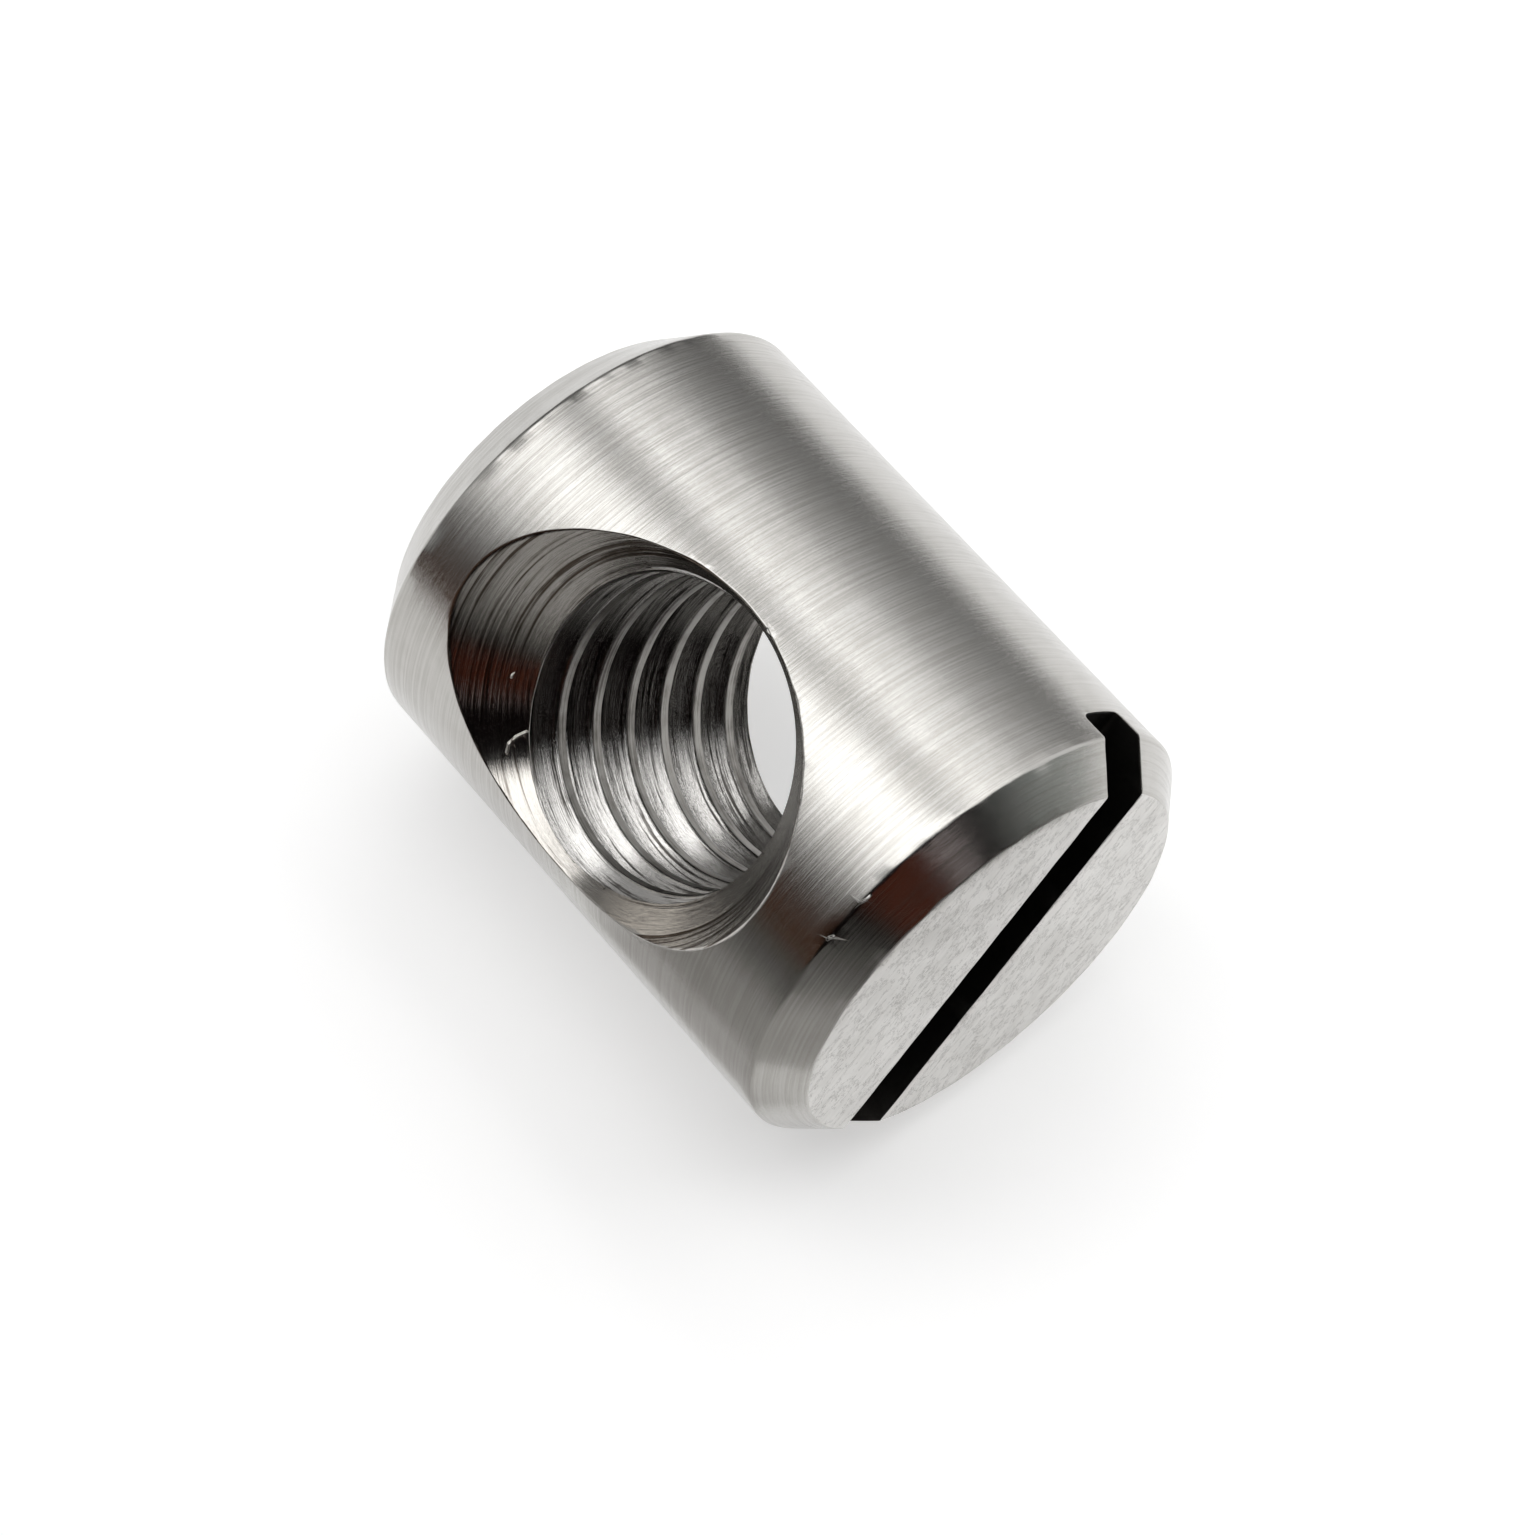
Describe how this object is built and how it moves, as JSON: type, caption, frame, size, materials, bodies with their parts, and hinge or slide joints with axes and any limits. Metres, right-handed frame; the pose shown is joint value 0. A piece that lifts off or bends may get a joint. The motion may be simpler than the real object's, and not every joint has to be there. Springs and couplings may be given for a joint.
{
  "type": "cross dowel nut",
  "caption": "Steel barrel nut: a chamfered cylinder with a countersunk tapped hole across its middle and a driver slot in one end.",
  "frame": {"origin": "centre of the plain end face, on the barrel's axis", "axes": "+Z along the barrel to the slotted end, +X along the tapped hole, and the nut stands on its plain end"},
  "size_m": [0.014, 0.014, 0.018],
  "materials": {
    "steel": "bare stainless steel as turned, with fine rings round the barrel and in the countersink"
  },
  "bodies": {
    "root": {"barrel_nut": "steel"}
  },
  "joints": []
}
